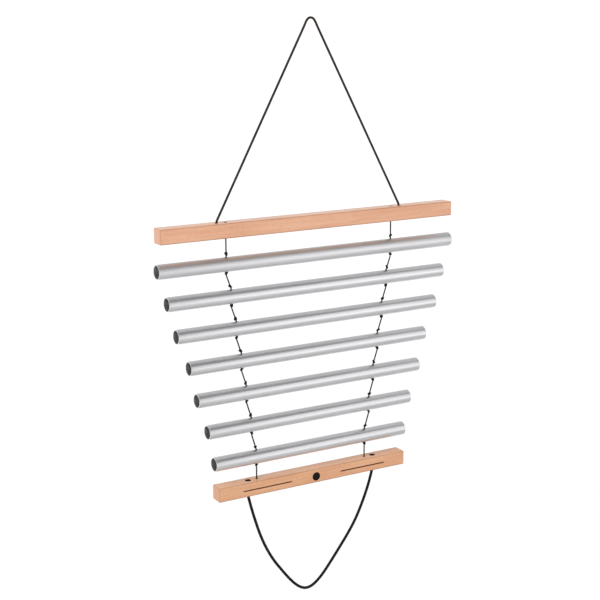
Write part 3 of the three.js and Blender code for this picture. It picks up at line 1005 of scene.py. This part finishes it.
def beech_finish(bar, heart, light, dark, fleck, end_grain, arris):
    name = f"beech of the {bar.replace('_', ' ')}"
    finish, tree, shader = new_finish(name, Coat_Weight=0.9, Coat_Roughness=0.3)
    millimetres = stretched_place(tree, (MM, MM, MM))
    growth = late_wood(tree, millimetres, heart)
    clouds = stretched_noise(tree, (14.0, 90.0, 90.0), detail=3.0)
    flecks = ramp(tree, stretched_noise(tree, (330.0, 2600.0, 2600.0), detail=1.0), 0.56, 0.68)
    pores = stretched_noise(tree, (160.0, 4200.0, 4200.0), detail=2.0)
    tone = mix_values(tree, CLOUD_SHARE, growth, ramp(tree, clouds, *NOISE_CORE))
    colour = mix_colours(tree, tone, light, dark)
    colour = mix_colours(tree, calc(tree, "MULTIPLY", flecks, FLECK_SHARE), colour, fleck)
    depths = depth_below_faces(tree, millimetres, bar)
    end_rings = calc(tree, "MULTIPLY", calc(tree, "MAXIMUM", growth, flecks), END_RINGS)
    sawn_end = mix_colours(tree, end_rings, end_grain, fleck)
    at_end = ramp(tree, depths[0], END_GRAIN_DEEP, 0.0, 0.0, END_GRAIN_SHARE)
    colour = mix_colours(tree, at_end, colour, sawn_end)
    # Darker along the eased edges, in patches.
    near_arris = ramp(tree, from_arris(tree, depths), ARRIS_WIDE, ARRIS_NARROW, 0.0, ARRIS_DARK)
    darker_edge_share = calc(tree, "MULTIPLY", near_arris, ramp(tree, clouds, *NOISE_RANGE, 0.5, 1.0))
    colour = mix_colours(tree, darker_edge_share, colour, arris)
    paint(tree, shader, colour, ramp(tree, pores, *NOISE_RANGE, 0.38, 0.54))
    bump(tree, shader, calc(tree, "SUBTRACT", pores, flecks), strength=0.25, distance=0.0001)
    return finish


top_beech = beech_finish(
    "top_bar", heart=(0.0, 46.0, -262.0),
    light=screen_colour(235, 179, 142), dark=screen_colour(221, 157, 118),
    fleck=screen_colour(195, 129, 92), end_grain=screen_colour(215, 154, 117),
    arris=screen_colour(158, 100, 70),
)
bottom_beech = beech_finish(
    "bottom_bar", heart=(0.0, 52.0, -516.0),
    light=screen_colour(235, 179, 136), dark=screen_colour(221, 157, 112),
    fleck=screen_colour(194, 129, 87), end_grain=screen_colour(202, 135, 79),
    arris=screen_colour(158, 100, 66),
)
print("beech finishes", top_beech.name, "and", bottom_beech.name)

# %% [markdown]
# The drilled walls are rough, and their dark colour is painted shade, for the shade deep in a narrow
# hole. The two lines on the bottom bar are burnt brown, and the dot between them is charred black,
# because the iron stayed there longer. All are small, so each finish is a mottled colour with a
# strong bump.

# %% Finishes for drilled and burnt wood


def mottled_wood(name, light, dark, strength):
    finish, tree, shader = new_finish(name, Specular_IOR_Level=0.25)
    mottle = stretched_noise(tree, (900.0, 1400.0, 1400.0), detail=4.0)
    shade = mix_colours(tree, ramp(tree, mottle, *NOISE_CORE), dark, light)
    paint(tree, shader, shade, ramp(tree, mottle, *NOISE_RANGE, 0.7, 0.9))
    bump(tree, shader, mottle, strength=strength, distance=0.0002)
    return finish


# Painted shade: the dark brown of the hole walls stands in for the shade inside the holes.
hole_shade_beech = mottled_wood("drilled beech in painted shade", screen_colour(58, 38, 28), screen_colour(26, 17, 13), 0.5)
burnt_beech = mottled_wood("burnt beech", screen_colour(118, 60, 26), screen_colour(76, 37, 14), 0.6)
charred_beech = mottled_wood("charred beech", screen_colour(26, 17, 14), screen_colour(13, 9, 8), 0.6)
print("small wood finishes", hole_shade_beech.name, burnt_beech.name, charred_beech.name)

# %% [markdown]
# A bar starts as a box of the fixed model's size. Its long edges are eased with a plane, a little more
# than the sawn ends, so they are rounded in two steps.

# %% Planed strip
BAR_EDGE, BAR_END_EDGE = 0.001, 0.0006


def solid(name, shape, finish):
    """An object with the shape of a bmesh, which is used up, in one finish."""
    mesh = bpy.data.meshes.new(name)
    shape.to_mesh(mesh)
    shape.free()
    mesh.materials.append(finish)
    return in_scene(name, mesh)


def planed_strip(name, node, finish):
    low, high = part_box(node)
    strip = bmesh.new()
    bmesh.ops.create_cube(strip, size=1.0)
    bmesh.ops.scale(strip, vec=high - low, verts=strip.verts)
    bmesh.ops.translate(strip, vec=(low + high) / 2, verts=strip.verts)
    long_edges = [edge for edge in strip.edges if abs(edge.verts[0].co.x - edge.verts[1].co.x) > BAR_EDGE]
    bmesh.ops.bevel(strip, geom=long_edges, offset=BAR_EDGE, segments=5, profile=0.5, affect="EDGES")
    end_edges = [
        edge for edge in strip.edges
        if all(min(abs(vert.co.x - low.x), abs(vert.co.x - high.x)) < SAME_SPOT for vert in edge.verts)
    ]
    bmesh.ops.bevel(strip, geom=end_edges, offset=BAR_END_EDGE, segments=3, profile=0.5, affect="EDGES")
    return solid(name, strip, finish)


print("bar edges", BAR_EDGE, "and", BAR_END_EDGE)

# %% [markdown]
# The holes are turned shapes that are taken out of a bar: a narrow hole for the cord, and a wider one
# from the other side for its knot, with softened rims. The faces that a cut leaves keep the cutter's
# finish, so the inside of a hole needs no selection of its own.

# %% Drills and cutters
HOLE_EASE, RECESS_EASE = 0.0004, 0.00015
HOLE_CLEARANCE, RECESS_CLEARANCE, KNOT_SUNK, KNOT_SEAM = 0.0008, 0.0006, 0.0006, 0.0003


def turned_shape(shape, profile, x, sides=48):
    """Adds a solid of revolution about a vertical axis at x; profile is (radius, height) pairs."""
    angles = [math.tau * i / sides for i in range(sides)]
    around = [(math.cos(angle), math.sin(angle)) for angle in angles]
    rows = [
        [shape.verts.new((x + radius * right, radius * back, height)) for right, back in around]
        for radius, height in profile
    ]
    for lower, upper in zip(rows, rows[1:]):
        for i in range(sides):
            shape.faces.new((lower[i], lower[(i + 1) % sides], upper[(i + 1) % sides], upper[i]))
    shape.faces.new(rows[0][::-1])
    shape.faces.new(rows[-1])


def stepped_drill(shape, node, diameter, cut_end, face, far_face):
    """The drill for the cord end of a node: its recess opens at the height face, its hole at far_face."""
    knot = size(node).x / 2
    hole = (diameter + HOLE_CLEARANCE) / 2
    recess = knot + RECESS_CLEARANCE / 2
    depth = KNOT_SUNK + cut_end + knot + math.sqrt((knot + KNOT_SEAM) ** 2 - hole ** 2)
    inward = math.copysign(1.0, far_face - face)
    profile = [
        (recess + 2 * RECESS_EASE, face - inward * RECESS_EASE), (recess, face + inward * RECESS_EASE),
        (recess, face + inward * depth), (hole, face + inward * depth),
        (hole, far_face - inward * HOLE_EASE), (hole + 2 * HOLE_EASE, far_face + inward * HOLE_EASE),
    ]
    turned_shape(shape, profile if inward > 0 else profile[::-1], middle(node).x)


def cutter(name, shape, finish):
    bmesh.ops.recalc_face_normals(shape, faces=shape.faces)
    return solid(name, shape, finish)


def keep_shown(piece):
    """Makes what a piece's modifiers show its own mesh."""
    mesh = shown_mesh(piece)
    piece.modifiers.clear()
    piece.data = mesh


def cut_from(piece, tool):
    modifier = piece.modifiers.new(tool.name, "BOOLEAN")
    modifier.operation = "DIFFERENCE"
    modifier.solver = "EXACT"
    modifier.material_mode = "TRANSFER"
    modifier.object = tool
    keep_shown(piece)
    bpy.data.objects.remove(tool)


print("hole for the thin cord", round(THIN_CORD + HOLE_CLEARANCE, 4))

# %% [markdown]
# The bottom bar has two thin lines burnt along its front, the left one a little longer, and a round dot
# between them. They were pressed with a hot iron, so they lie a little below the wood. A shallow cutter
# with round ends makes each part, and the faces that it leaves keep its burnt finish.

# %% Burnt lines
BURNT_MIDDLE = (0.0016, -0.0009)
LEFT_LINE, RIGHT_LINE = (-0.101, -0.035), (0.0361, 0.0998)
LINE_WIDTH, BURNT_DEPTH, DOT_DIAMETER, IRON_OUTSIDE = 0.0016, 0.00035, 0.0108, 0.001


def slot_outline(centre_a, centre_b, radius, steps=10):
    """A slot with round ends, in the bar's front plane, as (x, z) pairs."""
    outline = []
    for (x, z), start in ((centre_b, -math.pi / 2), (centre_a, math.pi / 2)):
        for i in range(steps + 1):
            angle = start + math.pi * i / steps
            outline.append((x + radius * math.cos(angle), z + radius * math.sin(angle)))
    return outline


def pressed_shape(shape, outline, front):
    near = [shape.verts.new((x, front - IRON_OUTSIDE, z)) for x, z in outline]
    deep = [shape.verts.new((x, front + BURNT_DEPTH, z)) for x, z in outline]
    count = len(outline)
    for i in range(count):
        shape.faces.new((near[i], near[(i + 1) % count], deep[(i + 1) % count], deep[i]))
    shape.faces.new(near[::-1])
    shape.faces.new(deep)


def burnt_marks(node):
    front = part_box(node)[0].y
    x, z = BURNT_MIDDLE[0], middle(node).z + BURNT_MIDDLE[1]
    lines, dot = bmesh.new(), bmesh.new()
    for start, end in (LEFT_LINE, RIGHT_LINE):
        pressed_shape(lines, slot_outline((x + start, z), (x + end, z), LINE_WIDTH / 2), front)
    pressed_shape(dot, slot_outline((x, z), (x, z), DOT_DIAMETER / 2, steps=24), front)
    return cutter("burnt_line", lines, burnt_beech), cutter("charred_dot", dot, charred_beech)


print("lines", LEFT_LINE, "and", RIGHT_LINE, "dot", DOT_DIAMETER)

# %% [markdown]
# Each bar is a strip with four drills taken out. A cord pulls its knot into the wood, so its recess
# opens on the side away from the pull: upwards for what hangs below, downwards for what comes from
# above. The bottom bar then gets its burnt marks. Weighted normals keep the flat faces flat in the
# light beside the round edges.

# %% The two bars
SHARP_BEND = math.radians(40)


def finish_bar(piece, node):
    piece.data.shade_smooth()
    piece.data.set_sharp_from_angle(angle=SHARP_BEND)
    smoother = piece.modifiers.new("flat faces", "WEIGHTED_NORMAL")
    smoother.keep_sharp = True
    keep_shown(piece)
    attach(piece, node)
    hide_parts(node)
    print(piece.name, "length", round(size(node).x, 4), "faces", len(piece.data.polygons))


def drilled_bar(name, node, finish, thin_ends, loop_ends, loop_cord, thin_opens_up):
    piece = planed_strip(name, node, finish)
    low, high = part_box(node)
    faces = (high.z, low.z) if thin_opens_up else (low.z, high.z)
    holes = bmesh.new()
    for side in SIDES:
        stepped_drill(holes, f"{thin_ends}_{side}", THIN_CORD, THIN_CUT_END, *faces)
        stepped_drill(holes, f"{loop_ends}_{side}", loop_cord, LOOP_CUT_END, *faces[::-1])
    cut_from(piece, cutter(f"{name}_drills", holes, hole_shade_beech))
    return piece


top_bar = drilled_bar("beech_top_bar", "top_bar", top_beech, "cord_head", "loop_end", HANGING_CORD, True)
finish_bar(top_bar, "top_bar")
bottom_bar = drilled_bar(
    "beech_bottom_bar", "bottom_bar", bottom_beech, "cord_foot", "hand_loop_end", HAND_CORD, False,
)
for iron in burnt_marks("bottom_bar"):
    cut_from(bottom_bar, iron)
finish_bar(bottom_bar, "bottom_bar")

# %% [markdown]
# The chime was photographed against white. The floor is pale and lies well below the hand loop. It could
# be one white plane, but the metal would mirror too much of it. So the floor asks by what kind of ray it
# is seen. To the camera it is white with a trace of shadow. To the metal it is grey below the chime,
# white behind it and pale grey in front. To the wood it is a little paler than to the metal, and white
# behind, which lights the undersides of the bars.

# %% Floor
FLOOR_BELOW, FLOOR_HALF = 0.1, 200.0
FLOOR_WHITE, FLOOR_IN_CAMERA, FADE_TO_WHITE = 1.07, 0.9, (1.0, 2.5)
FLOOR_IN_METAL, FLOOR_IN_WOOD, SWEEP_IN_WOOD = 0.55, 0.64, 1.0
BEHIND, IN_FRONT = (0.0, 0.3), (-0.2, -1.0)
WHITE_BEHIND, WHITE_IN_FRONT = 0.95, 0.45
METAL_RAYS = ("Glossy", "Transmission")


def seen_by(tree, *kinds):
    """1 for the named kinds of ray, such as Camera, and 0 for the others."""
    path = add_node(tree, "ShaderNodeLightPath").outputs
    share = path[f"Is {kinds[0]} Ray"]
    for kind in kinds[1:]:
        share = calc(tree, "MAXIMUM", share, path[f"Is {kind} Ray"])
    return share


def white_floor():
    finish = bpy.data.materials.new("pale floor")
    finish.use_nodes = True
    tree = finish.node_tree
    tree.nodes.clear()
    place = add_node(tree, "ShaderNodeTexCoord").outputs["Object"]
    away = add_node(tree, "ShaderNodeVectorMath", {0: place}, operation="LENGTH").outputs["Value"]
    depth = add_node(tree, "ShaderNodeSeparateXYZ", {0: place}).outputs["Y"]
    in_wood = ramp(tree, depth, *BEHIND, FLOOR_IN_WOOD, SWEEP_IN_WOOD)
    pale = ramp(tree, seen_by(tree, "Diffuse"), 0.0, 1.0, FLOOR_IN_METAL, in_wood)
    matt = add_node(tree, "ShaderNodeBsdfDiffuse", {"Color": pale}).outputs[0]
    white = add_node(tree, "ShaderNodeEmission", {"Strength": FLOOR_WHITE}).outputs[0]
    behind = ramp(tree, depth, *BEHIND, 0.0, WHITE_BEHIND)
    in_front = ramp(tree, depth, *IN_FRONT, 0.0, WHITE_IN_FRONT)
    to_metal = calc(tree, "MULTIPLY", seen_by(tree, *METAL_RAYS), calc(tree, "MAXIMUM", behind, in_front))
    whiter = ramp(tree, away, *FADE_TO_WHITE, FLOOR_IN_CAMERA, 1.0)
    to_camera = calc(tree, "MULTIPLY", seen_by(tree, "Camera"), whiter)
    share = calc(tree, "MAXIMUM", to_camera, to_metal)
    mixed = add_node(tree, "ShaderNodeMixShader", {0: share, 1: matt, 2: white}).outputs[0]
    add_node(tree, "ShaderNodeOutputMaterial", {"Surface": mixed})
    return finish


def lay_floor():
    level = cad_box[0].z - FLOOR_BELOW
    mesh = bpy.data.meshes.new("floor")
    square = ((-1, -1), (1, -1), (1, 1), (-1, 1))
    mesh.from_pydata([(FLOOR_HALF * x, FLOOR_HALF * y, level) for x, y in square], [], [(0, 1, 2, 3)])
    mesh.materials.append(white_floor())
    in_scene("floor", mesh)
    return level


print("floor at", round(lay_floor(), 3))

# %% [markdown]
# The light is soft and comes from the front. To the metal the world is a studio with a white backdrop
# and a ceiling that is darker in front, which gives the tubes their dark upper band. To the wood it is a
# fill that comes mostly from overhead. A wide lamp on the right puts the long highlight along the tubes.
# A second one on the left lights the wood, and the metal doesn't show it.

# %% World and lamps
CEILING_IN_FRONT, CEILING_BEHIND, CEILING_EDGE = 0.25, 0.60, (-0.28, 0.0)
BACKDROP_TOP, BACKDROP_EDGE = (0.22, 0.36), (0.2, 0.5)
FILL_BELOW, FILL_ABOVE, FILL_HEIGHTS = 0.26, 0.98, (0.1, 0.9)
WHITE = (1.0, 1.0, 1.0, 1.0)


def studio_world():
    world = bpy.data.worlds.new("white studio")
    world.use_nodes = True
    tree = world.node_tree
    tree.nodes.clear()
    look = add_node(tree, "ShaderNodeTexCoord").outputs["Generated"]
    direction = add_node(tree, "ShaderNodeSeparateXYZ", {0: look}).outputs
    ceiling = ramp(tree, direction["Y"], *CEILING_EDGE, CEILING_IN_FRONT, CEILING_BEHIND)
    low = ramp(tree, direction["Z"], *BACKDROP_TOP, 1.0, 0.0)
    backdrop = calc(tree, "MULTIPLY", low, ramp(tree, direction["Y"], *BACKDROP_EDGE))
    studio = calc(tree, "MAXIMUM", ceiling, backdrop)
    by_metal = seen_by(tree, *METAL_RAYS)
    in_metal = calc(tree, "MULTIPLY", studio, by_metal)
    in_camera = calc(tree, "MAXIMUM", in_metal, seen_by(tree, "Camera"))
    fill = ramp(tree, direction["Z"], *FILL_HEIGHTS, FILL_BELOW, FILL_ABOVE)
    in_wood = calc(tree, "MULTIPLY", fill, calc(tree, "SUBTRACT", 1.0, by_metal))
    strength = calc(tree, "MAXIMUM", in_camera, in_wood)
    inputs = {"Color": WHITE, "Strength": strength}
    back = add_node(tree, "ShaderNodeBackground", inputs).outputs[0]
    add_node(tree, "ShaderNodeOutputWorld", {"Surface": back})
    bpy.context.scene.world = world


def soft_lamp(name, place, aim, width, height, brightness, in_metal):
    lamp = bpy.data.lights.new(name, "AREA")
    lamp.shape = "RECTANGLE"
    lamp.size, lamp.size_y = width, height
    lamp.energy = brightness * width * height * math.pi
    holder = in_scene(name, lamp)
    holder.location = place
    holder.visible_glossy = in_metal
    holder.rotation_euler = (Vector(aim) - Vector(place)).to_track_quat("-Z", "Y").to_euler()
    print(name, "energy", round(lamp.energy, 2))


studio_world()
soft_lamp(
    "front lamp", place=(0.95, -1.5, 0.07), aim=(0.0, 0.0, -0.1),
    width=2.2, height=1.74, brightness=0.80, in_metal=True,
)
soft_lamp(
    "left lamp", place=(-1.9, -0.8, 0.9), aim=(0.0, 0.0, -0.4),
    width=2.0, height=2.0, brightness=2.8, in_metal=False,
)
bpy.context.scene.view_settings.view_transform = "Standard"
